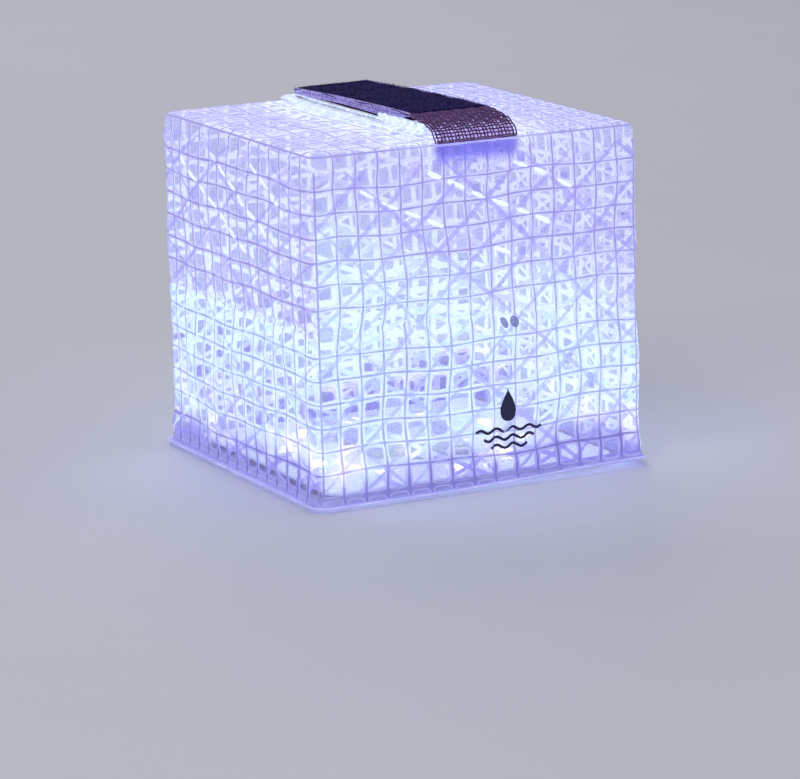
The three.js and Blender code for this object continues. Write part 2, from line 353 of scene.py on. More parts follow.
def film_material():
    """Clear laminate between the yarns: each cell of the grid is a small puffed lens. Its glow is painted light
    from the lamps inside; the lens rings and rims are painted highlights and some cells are painted darker violet
    shade.
    """
    shader = Shader("grid_film", Roughness=0.28, IOR=1.45)
    cell = shader.node("ShaderNodeAttribute", output=1, attribute_name="cell")
    u, v, wall = shader.apart(cell)
    across, up = (abs(shader.math("FRACT", part) * 2.0 - 1.0) for part in (u, v))
    edge = (across**4.0 + up**4.0) ** 0.25  # 0 in a cell's middle, 1 on the yarns
    bent = edge + (shader.noise(330.0, 2.0) - 0.5) * 0.22

    number = {0: shader.math("FLOOR", u), 1: shader.math("FLOOR", v), 2: wall}
    number = {"Vector": shader.node("ShaderNodeCombineXYZ", number)}
    chance = shader.node("ShaderNodeTexWhiteNoise", number, noise_dimensions="3D")
    colour_chance = shader.node("ShaderNodeTexWhiteNoise", number, output=1, noise_dimensions="3D")
    first, second, third = shader.apart(colour_chance)

    # The rings of each lens cell are a ripple in its bump and alpha and a painted highlight in its glow; the
    # bright rim is a painted highlight.
    wave = shader.math("SINE", bent * (chance * 8.0 + 15.0) + first * 6.0)
    rings = wave.step(0.25, 0.95)
    rim = bent.step(0.66, 0.84) * edge.step(1.0, 0.9)
    x, z = shader.x, shader.z
    # Painted shade: some cells in the lower half glow darker violet, more of them in a pool on the left, and spots
    # of it in the upper part.
    pool = abs(z - 0.034).step(0.018, 0.010) * x.step(0.010, -0.006)
    painted_shade_cell = (second - (pool * -0.50 + 0.80)).step(0.0, 0.08) * bent.step(0.72, 0.62)
    painted_shade_cell = painted_shade_cell * z.step(0.05, 0.04) * z.step(0.012, 0.02)
    spot = bent.step(0.42, 0.28) * third.step(0.45, 0.6) * z.step(0.055, 0.075)
    spot = spot * x.step(-0.030, 0.010, 0.35, 1.0)
    violet = shader.math("MAXIMUM", painted_shade_cell, spot)

    colour, power, low = film_light(shader)
    colour = shader.mix(rings * 0.45, colour, (0.80, 0.88, 1.0))
    colour = shader.mix(rim * 0.55, colour, (0.86, 0.92, 1.0))
    colour = shader.mix(violet * 0.9, colour, (0.34, 0.30, 0.95))
    # Streaks, rings, rims, darker cells and each cell's chance vary the painted glow's power.
    stretched = shader.node("ShaderNodeMapping", {"Vector": cell, "Scale": (0.006, 0.06, 1.0)})
    streak = shader.noise(900.0, 2.0, vector=stretched)
    for part, gain, base in ((rings, 0.24, 0.84), (rim, 0.18, 1.0), (streak, 0.44, 0.78),
                             (violet, -0.30, 1.0), (chance, 0.20, 0.90)):
        power = power * (part * gain + base)
    base = shader.mix(violet, (0.52, 0.54, 0.86), CELL_PAINTED_SHADE)
    return shader.made(
        (rings * 0.5 + shader.noise(260.0, 3.0), 0.35, 0.0004),
        Base_Color=shader.mix(low, FOOT_PAINTED_SHADE, base), Emission_Color=colour,
        Emission_Strength=power * FILM_GLOW, Alpha=rings * 0.12 + (rim * 0.22 + 0.46))


def yarn_outside():
    """Dark violet yarn on the film's outer face, darker still at the dim foot as painted shade, with a share of
    the film's painted glow.
    """
    shader = Shader("yarn_outside", Roughness=0.55)
    fibre = shader.noise(1500.0, 2.0)
    colour, power, low = film_light(shader)
    thread = shader.mix(fibre, (0.30, 0.28, 0.66), (0.48, 0.46, 0.86))
    return shader.made(
        (fibre, 0.4, 0.0002), Base_Color=shader.mix(low, (0.32, 0.29, 0.80), thread),
        Emission_Color=shader.mix(0.45, colour, (0.40, 0.34, 0.90)),
        Emission_Strength=power * (low * 0.18 + 0.24))


def lit_yarn(name, scale, dark, light, tint, share, strength, patchy=None, **sockets):
    """Yarn given a share of the film's painted glow, tinted by a share. Where patchy, it comes and goes along its
    length.
    """
    shader = Shader(name, **sockets)
    weave = shader.noise(scale, 2.0)
    colour, power, _ = film_light(shader)
    values = {"Base_Color": shader.mix(weave, dark, light), "Emission_Strength": power * strength,
              "Emission_Color": shader.mix(share, colour, tint)}
    if patchy:
        values["Alpha"] = shader.noise(patchy, 1.0) * 0.7 + 0.02
    return shader.made((weave, 0.3, 0.0002), **values)


def shining_yarn(name, scale, dark, light, dim, bright, strength, patchy=None, **sockets):
    """Yarn with a painted highlight: it glows by itself, between a dim and a bright colour."""
    shader = Shader(name, **sockets)
    weave = shader.noise(scale, 2.0)
    values = {"Base_Color": shader.mix(weave, dark, light), "Emission_Strength": weave * 0.2 + strength,
              "Emission_Color": shader.mix(weave, dim, bright)}
    if patchy:
        values["Alpha"] = shader.noise(patchy, 1.0) * 0.8
    return shader.made((weave, 0.3, 0.0002), **values)


def patch_shadow_material():
    """The weld patch, its blue-violet a painted shadow of the strap's end, which blocks the light from inside:
    strongest along the weld, fading down and towards its sides.
    """
    shader = Shader("weld_patch", Roughness=0.3)
    waves = shader.noise(220.0, 3.0)
    tone = shader.mix(waves, (0.15, 0.13, 0.76), (0.34, 0.31, 0.94))
    fade = shader.z.step(0.0985, 0.1035) * abs(shader.x).step(0.0145, 0.0120)
    return shader.made(
        (waves, 0.3, 0.0003), Base_Color=tone, Emission_Color=tone,
        Emission_Strength=waves * 0.3 + 0.15, Alpha=fade * (waves * 0.35 + 0.52))


# A clear film whose glow, of strength glow, is painted light from inside.
def clear_film_material(name, dark, light, glow, alpha, scale=180.0):
    shader = Shader(name, Roughness=0.16, IOR=1.47)
    waves = shader.noise(scale, 3.0)
    tone = shader.mix(waves, dark, light)
    return shader.made(
        (waves, 0.3, 0.0004), Base_Color=tone, Emission_Color=tone, Alpha=waves * 0.25 + (alpha - 0.12),
        Emission_Strength=waves * glow + glow * 0.5)


def plain_material(name, dark, light, roughness, scale=400.0, **sockets):
    shader = Shader(name, **sockets)
    grain = shader.noise(scale, 4.0)
    return shader.made(
        (grain, 0.25, 0.0002), Base_Color=shader.mix(grain, dark, light),
        Roughness=grain * 0.2 + (roughness - 0.1))


def cloth_material(name, dark, light, scale, glow=None):
    """Brushed tape: mottled pile with fine ribs along the weave. glow, if given, is a painted glow of the light
    from inside, as (dim, bright, strength).
    """
    shader = Shader(name, Roughness=0.9, Sheen_Weight=0.02, Sheen_Roughness=0.5, Specular_IOR_Level=0.15)
    mottle = shader.noise(scale, 4.0)
    shade = mottle + shader.math("SINE", shader.y * (TAU / RIB)) * 0.08
    values = {"Base_Color": shader.mix(shade.step(0.3, 0.7), dark, light)}
    if glow:
        dim, bright, strength = glow
        values["Emission_Color"] = shader.mix(mottle, dim, bright)
        values["Emission_Strength"] = mottle * strength
    return shader.made((shade, 0.6, 0.0004), **values)


def cell_material():
    """A solar strip: dark blue glassy silicon with thin silver fingers and two busbars."""
    shader = Shader("solar_cell", Roughness=0.16, Coat_Weight=0.6, Coat_Roughness=0.06)
    finger = abs(shader.math("SINE", shader.y * (math.pi / FINGER))).step(0.16, 0.06)
    busbar = abs(shader.math("SINE", shader.x * (math.pi / BUSBAR))).step(0.14, 0.08)
    lines = shader.math("MAXIMUM", finger, busbar)
    grain = shader.node("ShaderNodeTexVoronoi", {"Vector": shader.place, "Scale": 260.0}, output=1)
    silicon = shader.mix(0.25, (0.012, 0.022, 0.09), grain)
    silicon = shader.mix(0.75, silicon, (0.015, 0.03, 0.12))
    return shader.made(
        (lines, 0.3, 0.0001), Base_Color=shader.mix(lines, silicon, (0.55, 0.57, 0.62)),
        Metallic=lines * 0.8)


def lit_material(name, colour, strength):
    shader = Shader(name, Roughness=0.3)
    spot = shader.noise(900.0, 2.0)
    return shader.made(
        (spot, 0.2, 0.0001), Base_Color=shader.mix(spot, (1.0, 0.85, 0.45), (1.0, 0.95, 0.75)),
        Emission_Color=shader.mix(spot, colour, (1.0, 1.0, 1.0)),
        Emission_Strength=spot * (strength * 0.5) + strength * 0.75)


def board_material():
    """White solder mask with copper runs, with the LEDs' light on it painted as a glow."""
    shader = Shader("board", Roughness=0.35)
    runs = shader.node("ShaderNodeTexBrick", {
        "Vector": shader.place, "Scale": 90.0, "Mortar Size": 0.03, "Mortar": (0.74, 0.78, 0.76),
        "Color1": (0.93, 0.94, 0.92), "Color2": (0.90, 0.92, 0.91)})
    return shader.made(
        (shader.noise(700.0), 0.15, 0.0001), Base_Color=runs,
        Emission_Color=shader.mix(shader.noise(40.0), (0.8, 0.9, 1.0), (1.0, 0.96, 0.88)),
        Emission_Strength=shader.noise(60.0, 1.0) * 0.3)


FILM = film_material()
YARN_OUT = yarn_outside()
# These yarns and bands take a share of the film's painted glow; GLINT and SHINE shine with painted highlights of
# their own.
YARN_IN = lit_yarn("yarn_inside", 1200.0, (0.62, 0.66, 0.90), (0.80, 0.83, 0.96),
                   (0.95, 0.98, 1.0), 0.45, 0.74, Roughness=0.5)
BIAS = lit_yarn("bias_yarn", 1000.0, (0.50, 0.50, 0.82), (0.64, 0.66, 0.92),
                (0.62, 0.60, 1.0), 0.3, 0.62, Roughness=0.4, Alpha=0.5)
BAND = lit_yarn("outer_band", 1000.0, (0.40, 0.38, 0.80), (0.54, 0.52, 0.92),
                (0.50, 0.44, 0.98), 0.5, 0.40, patchy=45.0, Roughness=0.4)
GLINT = shining_yarn("bias_glint", 1400.0, (0.75, 0.82, 0.96), (0.9, 0.95, 1.0),
                     (0.70, 0.85, 1.0), (0.9, 0.98, 1.0), 0.42, Roughness=0.25, Alpha=0.72)
SHINE = shining_yarn("shining_band", 700.0, (0.60, 0.68, 0.90), (0.80, 0.88, 0.98),
                     (0.66, 0.90, 1.0), (0.85, 0.98, 1.0), 0.40, patchy=60.0, Roughness=0.3)
CLEAR = clear_film_material("clear_film", (0.34, 0.33, 0.84), (0.56, 0.56, 0.96), 0.30, 0.50, 70.0)
BEAD = clear_film_material("weld_bead", (0.50, 0.50, 0.92), (0.80, 0.82, 1.0), 0.30, 0.85, 120.0)
PATCH = patch_shadow_material()


# ---- The film walls ----


def warp(wall, s, z):
    """How far the yarns wander from straight, along the wall and up it."""
    phase = WALLS.get(wall, 5) * 1.9
    along = 0.42 * np.sin(z / (11 * MM) + s / (31 * MM) + phase)
    along += 0.24 * np.sin(z / (4.3 * MM) - s / (13 * MM) + 2.1 * phase)
    rise = 0.40 * np.sin(s / (14 * MM) + z / (37 * MM) + 1.3 * phase + 0.7)
    rise += 0.20 * np.sin(s / (5.1 * MM) - z / (17 * MM) + phase)
    fade = smooth(HALF - np.abs(s), 0, 8 * MM)
    level = np.minimum(np.abs(z - CREASE), np.minimum(np.abs(z - LOW_FOLD), np.abs(z - HIGH_FOLD)))
    ends = smooth(np.minimum(z - LOW_FOLD, HIGH_FOLD - z), 0, 9 * MM)
    loose = MM * (1.45 if wall in ("front", "back") else 1.0)
    return along * loose * fade * ends, rise * loose * fade * smooth(level, 0, 6 * MM)


def cells(wall, s, z):
    """Place in the yarn grid: whole numbers are on a yarn."""
    along, rise = warp(wall, s, z)
    return (s + HALF + along) / PITCH, (z - CREASE + rise) / RISE


def puff(u, v):
    """How far a cell is puffed up between its yarns, from 0 on a yarn to 1 in the middle."""
    return (1 - np.abs(2 * (u % 1) - 1) ** 4) * (1 - np.abs(2 * (v % 1) - 1) ** 4)


def proud(wall, s, z):
    """How far the film stands out of its flat panel."""
    lower = z < CREASE
    share = np.where(lower, (z - LOW_FOLD) / (CREASE - LOW_FOLD), (z - CREASE) / (HIGH_FOLD - CREASE))
    share = np.clip(share, 0, 1)
    width = np.clip(1 - (s / HALF) ** 2, 0, 1)
    number = WALLS.get(wall, 5)
    belly = 1.2 * np.sin(math.pi * share) ** 0.8 * width**0.9
    swell = 0.34 * np.sin(s / (17 * MM) + number) * np.sin(z / (12 * MM) + 2 * number)
    swell += 0.22 * np.sin(s / (6.3 * MM) + z / (8.7 * MM) + number)
    swell += 0.16 * np.sin(s / (3.9 * MM) - z / (5.2 * MM) + 3 * number)
    u, v = cells(wall, s, z)
    size = 0.25 + 0.35 * scatter(np.floor(u), np.floor(v), number)
    crease = -0.30 * np.exp(-(((z - CREASE) / (0.9 * MM)) ** 2))
    if wall in ("left", "right"):
        rise = np.where(lower, z - SIDE_LOW_FOLD, SIDE_HIGH_FOLD - z)
        slant = (np.abs(s) - (HALF - MM - rise)) / math.sqrt(2)
        crease = crease - 0.2 * np.exp(-((slant / (0.8 * MM)) ** 2))
    ease = smooth(share, 0, 0.05) * smooth(share, 1, 0.95) * smooth(width, 0, 0.06)
    foot = FLARE * smooth(z, 15 * MM, BAND_TOP)
    return (belly + (swell + puff(u, v) * size) * ease + crease * width**0.3) * MM + foot


def on_wall(wall, s, z, lift=0.0):
    """Points and outward directions on a wall, with its upright corners rounded."""
    out = OUT[wall]
    along = np.cross(UP, out)
    s, z = np.broadcast_arrays(np.asarray(s, float), np.asarray(z, float))
    flat = HALF - CORNER
    turn = np.clip((np.abs(s) - flat) / CORNER, 0, 1) * math.pi / 4
    side = np.sign(s)
    d = proud(wall, s, z) + lift
    across = side * (np.minimum(np.abs(s), flat) + (CORNER + d) * np.sin(turn))
    outward = flat + (CORNER + d) * np.cos(turn)
    points = across[..., None] * along + outward[..., None] * out + z[..., None] * UP
    normals = np.cos(turn)[..., None] * out + (side * np.sin(turn))[..., None] * along
    return points, normals


def gusset_half(z):
    """Half the width of a side wall's middle gusset at a height."""
    rise = np.where(z < CREASE, z - SIDE_LOW_FOLD, SIDE_HIGH_FOLD - z)
    return HALF - MM - rise


def part_of(wall, s, z):
    """Name of the film piece that holds a point of a wall."""
    half = "lower" if z < CREASE else "upper"
    if wall in ("front", "back"):
        return f"{wall}_panel_{half}"
    if abs(s) < gusset_half(z):
        return f"{wall}_gusset_{half}"
    front = (s > 0) == (wall == "left")
    return f"{wall}_{'front' if front else 'back'}_web_{half}"


def film_columns(node, wall, heights):
    """The first and last place along the wall at each height of a film piece."""
    edge = np.full_like(heights, HALF)
    if "panel" in node:
        return -edge, edge
    slant = np.minimum(gusset_half(heights), HALF - 0.05 * MM)
    if "gusset" in node:
        return -slant, slant
    toward_end = ("front" in node) == (wall == "left")
    return (slant, edge) if toward_end else (-edge, -slant)


def body_of_node(node):
    return next(b for b, nodes in frame["record"]["behaviour"]["bodies"].items() if node in nodes)


def film_piece(node, wall):
    half = node.rsplit("_", 1)[1]
    side = wall in ("left", "right")
    low = (SIDE_LOW_FOLD if side else BAND_TOP + 0.1 * MM) if half == "lower" else CREASE
    high = CREASE if half == "lower" else (SIDE_HIGH_FOLD if side else HIGH_FOLD)
    rows = int((high - low) / FINE) + 1
    columns = int(2 * HALF / FINE) + 1
    if "web" in node:
        columns //= 2
    heights = np.linspace(low, high, rows)
    first, last = film_columns(node, wall, heights)
    share = np.linspace(0, 1, columns)
    s = first[:, None] + (last - first)[:, None] * share
    z = np.repeat(heights[:, None], columns, 1)
    points, _ = on_wall(wall, s, z)
    piece = new_piece(f"{node}_film", points.reshape(-1, 3), grid_faces(rows, columns), [FILM])
    u, v = cells(wall, s, z)
    write_cells(piece, u, v, WALLS[wall])
    return piece


def split_by_part(wall, s, z):
    """Cuts a line on a wall into the stretches that lie on each film piece."""
    names = [part_of(wall, a, b) for a, b in zip(s, z)]
    start = 0
    for i in range(1, len(names) + 1):
        if i == len(names) or names[i] != names[start]:
            stop = min(i + 1, len(names))
            yield names[start], s[start:stop], z[start:stop]
            start = i


def wall_lines(wall):
    """Every yarn of a wall, as (kind, places along, heights)."""
    low, high = BAND_TOP, HIGH_FOLD
    z = np.linspace(low, high, 129)
    for k in range(CELLS + 1):
        at_seam = k in (0, CELLS)
        s = np.full_like(z, k * PITCH - HALF)
        s = np.clip(s - warp(wall, s, z)[0], -HALF + INSET, HALF - INSET)
        if not at_seam or wall in ("front", "back"):
            yield ("seam" if at_seam else "grid"), s, z
    s = np.linspace(-HALF, HALF, 145)
    for k in (*range(1 - ROWS, 0), *range(1, ROWS)):
        level = np.full_like(s, CREASE + k * RISE)
        yield "grid", s, level - warp(wall, s, level)[1]
    for slope in (-1, 1):
        for k in range(-9, 10):
            tilt = CREASE + (k + 0.3 - 0.3 * slope) * 2 * RISE + slope * (s / PITCH) * RISE / 2
            tilt = tilt - warp(wall, s, tilt)[1]
            inside = (tilt > low) & (tilt < high)
            if inside.sum() > 3:
                yield "bias", s[inside], tilt[inside]
            if slope < 0:
                yield from glints(wall, k, s, tilt)
    yield from bands(wall, s, low, high)


def bands(wall, s, low, high):
    """Flat bias bands on the outside, leaning at about 45 degrees, one way more than the other. They stand for the
    film's pleat lines, lit with its painted glow; the white shine bands are painted highlights.
    """
    side = wall in ("left", "right")
    lean = 0.64 if side else 0.92
    for slope, spacing, shift in ((lean, 15.4 * MM, 3 * MM), (-lean, 27 * MM, 9 * MM)):
        for k in range(-8, 9):
            bow = 1.6 * MM * np.sin(s / (23 * MM) + k * 1.7 + WALLS[wall])
            tilt = CREASE + shift + k * spacing + slope * s + bow
            # Three bands low on each side wall are painted highlights.
            lower = "shine" if side and slope > 0 and k in (-1, 0, 1) else "band"
            for kind, bottom, top in ((lower, low, CREASE), ("band", CREASE, high)):
                inside = (tilt > bottom) & (tilt < top)
                if inside.sum() > 3:
                    yield kind, s[inside], tilt[inside]


def glints(wall, k, s, z):
    """Painted highlights: shining stretches of three falling bias yarns in the upper half, broken at every upright
    yarn.
    """
    if k not in (1, 2, 3):
        return
    first = (25 * k - 68 - 7 * (WALLS[wall] % 3)) * MM
    last = first + (72 - 14 * k) * MM
    cell_number = np.floor((s + HALF) / PITCH)
    for number in np.unique(cell_number):
        here = (cell_number == number) & (s > first) & (s < last) & (z < HIGH_FOLD - 2 * MM)
        kept = scatter(number, k, WALLS[wall]) < 0.86
        if kept and here.sum() > 5 and z[here].min() > CREASE + 4 * MM:
            yield "glint", s[here][1:-1], z[here][1:-1]


YARN_SIDES = {  # the materials on the outer and the inner face of each kind of yarn
    "grid": (YARN_OUT, YARN_IN), "seam": (YARN_OUT, YARN_OUT), "inner": (YARN_IN, YARN_IN),
    "bias": (BIAS, YARN_IN), "glint": (GLINT, YARN_IN), "band": (BAND, BAND), "shine": (SHINE, SHINE),
}


def yarn_pieces(wall):
    """The grid yarns and bias yarns of each film piece of a wall."""
    gathered = {}
    for number, (kind, s, z) in enumerate(wall_lines(wall)):
        share = scatter(number, WALLS[wall])
        for part, line_s, line_z in split_by_part(wall, s, z):
            points, normals = on_wall(wall, line_s, line_z)
            strips = gathered.setdefault((part, kind), Strips())
            if kind == "seam":
                strips.add(points, normals, 0.6 * MM, *OUTSIDE)
            elif kind == "grid":
                swing = 1 + 0.22 * np.sin(np.arange(len(line_s)) * 0.41 + 7 * share)
                stout = 1 + 0.3 * smooth(line_z, 24 * MM, 6 * MM)
                strips.add(points, normals, (0.46 + 0.2 * share) * MM * swing * stout, *OUTSIDE)
                inner = gathered.setdefault((part, "inner"), Strips())
                broad = 1.0 + 0.55 * smooth(line_z, CREASE + 12 * MM, CREASE - 6 * MM)
                inner.add(points, normals, (1.1 + 0.3 * share) * MM * swing * broad, *INSIDE)
            elif kind == "bias":
                strips.add(points, normals, (1.1 + 0.5 * share) * MM, *BEHIND)
            else:
                ends = np.sin(np.linspace(0.25, math.pi - 0.25, len(line_s))) ** 0.4
                strips.add(points, normals, (1.1 + 0.6 * share) * MM * ends, *LAID_ON)
    made = {}
    for (part, kind), strips in gathered.items():
        piece = strips.piece(f"{part}_{kind}_yarns", *YARN_SIDES[kind])
        made.setdefault(part, []).append(piece)
    return made


def fold_flat(piece, wall):
    """Gives a piece its own copy of its mesh."""
    out = OUT[wall]
    tuple(out)
    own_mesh(piece)


def fasten_film(node, wall, film, yarns):
    """Rides a film piece and its yarns on their body, and gives each its own copy of its mesh."""
    fasten((film, *yarns), body_of_node(node))
    for piece in (film, *yarns):
        if "web" in node:
            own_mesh(piece)
        else:
            fold_flat(piece, wall)
    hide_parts(node)
    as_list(yarns)


def film_walls():
    side_parts = ("gusset", "front_web", "back_web")
    parts = {"front": ("panel",), "back": ("panel",), "left": side_parts, "right": side_parts}
    for wall, names in parts.items():
        yarns = yarn_pieces(wall)
        for half in ("lower", "upper"):
            for part in names:
                node = f"{wall}_{part}_{half}"
                fasten_film(node, wall, film_piece(node, wall), yarns.get(node, []))


# ---- The top sheet ----


def top_swell(x, y):
    """How far the top sheet stands above or below its flat level."""
    strap = smooth(np.abs(x), STRAP_HALF + 1 * MM, STRAP_HALF + 12 * MM)
    reach = np.maximum(np.abs(x), np.abs(y))
    ease = smooth(HALF - reach, 0, 9 * MM)
    u, v = (x + HALF) / PITCH, (y + HALF) / PITCH
    size = 0.2 + 0.3 * scatter(np.floor(u), np.floor(v), 9)
    swell = 1.5 * np.exp(-(((x - 30 * MM) / (17 * MM)) ** 2) - (((y - 18 * MM) / (26 * MM)) ** 2))
    swell += 0.5 * np.sin(x / (9 * MM) + 1) * np.sin(y / (12 * MM))
    swell += 0.2 * np.sin(x / (4 * MM) + y / (5 * MM))
    return ((swell * strap + puff(u, v) * size * (0.35 + 0.65 * strap) - 0.35) * ease) * MM


def top_profile():
    """The film's way from the skirt's foot, over the edge and in to the middle: (inset, height)."""
    skirt = [(0.0, z) for z in np.linspace(HIGH_FOLD, TOP - TOP_EDGE, 4)]
    turns = np.linspace(0, math.pi / 2, 9)[1:]
    edge = [(TOP_EDGE * (1 - math.cos(a)), TOP - TOP_EDGE * (1 - math.sin(a))) for a in turns]
    rest = [(inset, TOP) for inset in np.linspace(TOP_EDGE, HALF - 1 * MM, 58)[1:]]
    return skirt + edge + rest


def rounded_square(half, radius, per_side=120, per_corner=8):
    """Points round a square with rounded corners, from the front-left corner onwards."""
    points = []
    flat = half - radius
    for k in range(4):
        turn = -math.pi / 2 + k * math.pi / 2
        out = np.array((math.cos(turn), math.sin(turn)))
        along = np.array((-out[1], out[0]))
        for t in np.linspace(-flat, flat, per_side, endpoint=False):
            points.append(out * half + along * t)
        centre = (out + along) * flat
        for i in range(per_corner):
            a = turn + (i / per_corner) * math.pi / 2
            points.append(centre + radius * np.array((math.cos(a), math.sin(a))))
    return np.array(points)


def top_film():
    rings, cells_u, cells_v = [], [], []
    profile = top_profile()
    for inset, z in profile:
        half = HALF - inset
        ring = rounded_square(half, max(min(CORNER, half * 0.4), 0.2 * MM))
        x, y = ring[:, 0], ring[:, 1]
        height = np.full(len(ring), z) + (top_swell(x, y) if z > TOP - 0.01 * MM else 0)
        rings.append(np.column_stack([ring, height]))
        if z > TOP - TOP_EDGE * 0.3:
            cells_u.append((x + HALF) / PITCH)
            cells_v.append((y + HALF) / PITCH)
        else:
            along = np.where(np.abs(x) > np.abs(y), y, x)
            cells_u.append((along + HALF) / PITCH)
            cells_v.append((height - CREASE) / RISE)
    count = len(rings[0])
    points = np.concatenate(rings)
    faces = grid_faces(len(rings), count, wrap=True).tolist()
    centre = len(points)
    points = np.vstack([points, [0, 0, TOP + float(top_swell(np.zeros(1), np.zeros(1))[0])]])
    last = (len(rings) - 1) * count
    faces += [[last + k, last + (k + 1) % count, centre] for k in range(count)]
    piece = new_piece("top_film", points, faces, [FILM])
    middle = HALF / PITCH
    write_cells(piece, np.append(np.concatenate(cells_u), middle),
                np.append(np.concatenate(cells_v), middle), 7)
    return piece


def over_top(place, axis):
    """A yarn's line over the top sheet from skirt to skirt, at one place across it."""
    flat = HALF - TOP_EDGE
    turns = np.linspace(0, math.pi / 2, 8)
    up = [(-flat - TOP_EDGE * math.cos(a), TOP - TOP_EDGE * (1 - math.sin(a))) for a in turns]
    run = [(t, TOP) for t in np.linspace(-flat, flat, 110)[1:-1]]
    down = [(-t, z) for t, z in reversed(up)]
    line = np.array([(-HALF, HIGH_FOLD)] + up + run + down + [(HALF, HIGH_FOLD)])
    t, z = line[:, 0], line[:, 1]
    wander = 0.35 * MM * np.sin(t / (13 * MM) + place * 900) * smooth(flat - np.abs(t), 0, 8 * MM)
    x, y = (t, place + wander) if axis == "x" else (place + wander, t)
    level = z >= TOP - 0.01 * MM
    z = z + np.where(level, top_swell(x, y), 0)
    slope = np.clip((np.abs(t) - flat) / TOP_EDGE, 0, 1)
    outward = np.sin(slope * math.pi / 2) * np.sign(t)
    upward = np.cos(slope * math.pi / 2)
    zero = np.zeros_like(t)
    normals = np.column_stack([outward, zero, upward] if axis == "x" else [zero, outward, upward])
    return np.column_stack([x, y, z]), normals


def top_yarns():
    grid, inner, bias = Strips(), Strips(), Strips()
    for k in range(1, CELLS):
        for axis in ("x", "y"):
            points, normals = over_top(k * PITCH - HALF, axis)
            width = (0.42 + 0.2 * float(scatter(k, ord(axis), 3))) * MM
            grid.add(points, normals, width, *OUTSIDE)
            inner.add(points, normals, 2.2 * width, *INSIDE)
    ring = rounded_square(HALF - TOP_EDGE * 0.3 + 0.05 * MM, CORNER, per_side=60)
    ring = np.vstack([ring, ring[:1]])
    height = np.full(len(ring), TOP - TOP_EDGE * 0.3)
    outward = ring / np.linalg.norm(ring, axis=1, keepdims=True)
    normals = np.column_stack([outward * 0.7, np.full(len(ring), 0.7)])
    grid.add(np.column_stack([ring, height]), normals, 0.55 * MM, -0.1 * MM, 0.1 * MM)
    flat = HALF - TOP_EDGE
    for slope in (-0.5, 0.5):
        for k in range(-8, 9):
            x = np.linspace(-flat, flat, 110)
            y = k * 2 * PITCH + slope * x
            inside = np.abs(y) < flat
            if inside.sum() > 3:
                x, y = x[inside], y[inside]
                points = np.column_stack([x, y, TOP + top_swell(x, y)])
                bias.add(points, np.tile(UP, (len(x), 1)), 1.6 * MM, *BEHIND)
    return [strips.piece(f"top_{kind}_yarns", *YARN_SIDES[kind])
            for kind, strips in (("grid", grid), ("inner", inner), ("bias", bias))]


def top_sheet():
    film, yarns = top_film(), top_yarns()
    fasten((film, *yarns), "top")
    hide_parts("top_sheet", "top_band")
    side = 2 * HALF + 2 * (TOP - HIGH_FOLD)
    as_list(yarns)


# ---- Base flange and band ----


def flange_lift(x, y):
    """The flange stands a little off the floor towards the front right corner."""
    return 2.0 * MM * smooth(x, -20 * MM, HALF) * smooth(-y, HALF - 6 * MM, HALF + FLANGE)


def swept_ring(name, outline, material, film_rows=0):
    """A closed outline of (offset, height) swept round the cube's rounded square foot."""
    rings = []
    for offset, z in outline:
        ring = rounded_square(HALF + offset, CORNER + max(offset, 0), per_side=72)
        height = z + flange_lift(ring[:, 0], ring[:, 1]) * smooth(offset, 0, 1.5 * MM)
        rings.append(np.column_stack([ring, height]))
    rings.append(rings[0])
    points = np.concatenate(rings[:-1])
    count = len(rings[0])
    faces = grid_faces(len(rings), count, wrap=True)
    faces = np.where(faces >= len(points), faces - len(points), faces)
    indices = (np.arange(len(faces)) < film_rows * count).astype(int)
    piece = new_piece(name, points, faces, [material, FILM] if film_rows else [material], indices)
    along = np.where(np.abs(points[:, 0]) > np.abs(points[:, 1]), points[:, 1], points[:, 0])
    write_cells(piece, (along + HALF) / PITCH, (points[:, 2] - CREASE) / RISE, 8)
    return piece


def base_film():
    """The band's film, sloped out into the flange, with two weld beads along it."""
    thick = 0.3 * MM
    foot = 1.0 * MM
    face = foot + thick
    drop = np.linspace(0, 1, 9)
    slope = [(FLARE + 0.8 * MM * t**1.6, BAND_TOP + 0.1 * MM - (BAND_TOP - 1.45 * MM) * t) for t in drop]
    under = [(FLANGE, face), (FLANGE, foot), (FLARE, foot), (FLARE - thick, foot + 0.6 * MM)]
    band = swept_ring("base_band_film", slope + under + [(FLARE - thick, BAND_TOP + 0.1 * MM)], CLEAR,
                      len(drop) - 1)
    turns = np.linspace(0, TAU, 7)[:-1]
    beads = []
    for number, offset in enumerate((FLANGE - 1.05 * MM, FLANGE - 0.15 * MM)):
        round_bead = [(offset + 0.17 * MM * math.cos(a), face - 0.17 * MM * math.sin(a)) for a in turns]
        beads.append(swept_ring(f"flange_bead_{number + 1}", round_bead, BEAD))
    pieces = [*beads, base_yarns()]
    fasten((band, *pieces), "base")
    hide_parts("base_band")


def base_yarns():
    """The wall yarns run down over the band to the weld."""
    strips = Strips()
    for out in OUT.values():
        along = np.cross(UP, out)
        for k in range(1, CELLS):
            s = k * PITCH - HALF
            z = np.linspace(BAND_TOP + 0.1 * MM, 1.6 * MM, 6)
            share = (BAND_TOP - z) / BAND_TOP
            reach = HALF + FLARE + 0.8 * MM * np.clip(share * 1.3, 0, 1) ** 1.6
            line = out * reach[:, None] + along * s + z[:, None] * UP
            line[:, 2] += flange_lift(line[:, 0], line[:, 1]) * smooth(reach - HALF, 0, 1.5 * MM)
            strips.add(line, np.tile(out, (6, 1)), 0.65 * MM, *OUTSIDE)
    return strips.piece("base_band_yarns", YARN_OUT, YARN_IN)


# ---- Strap ----


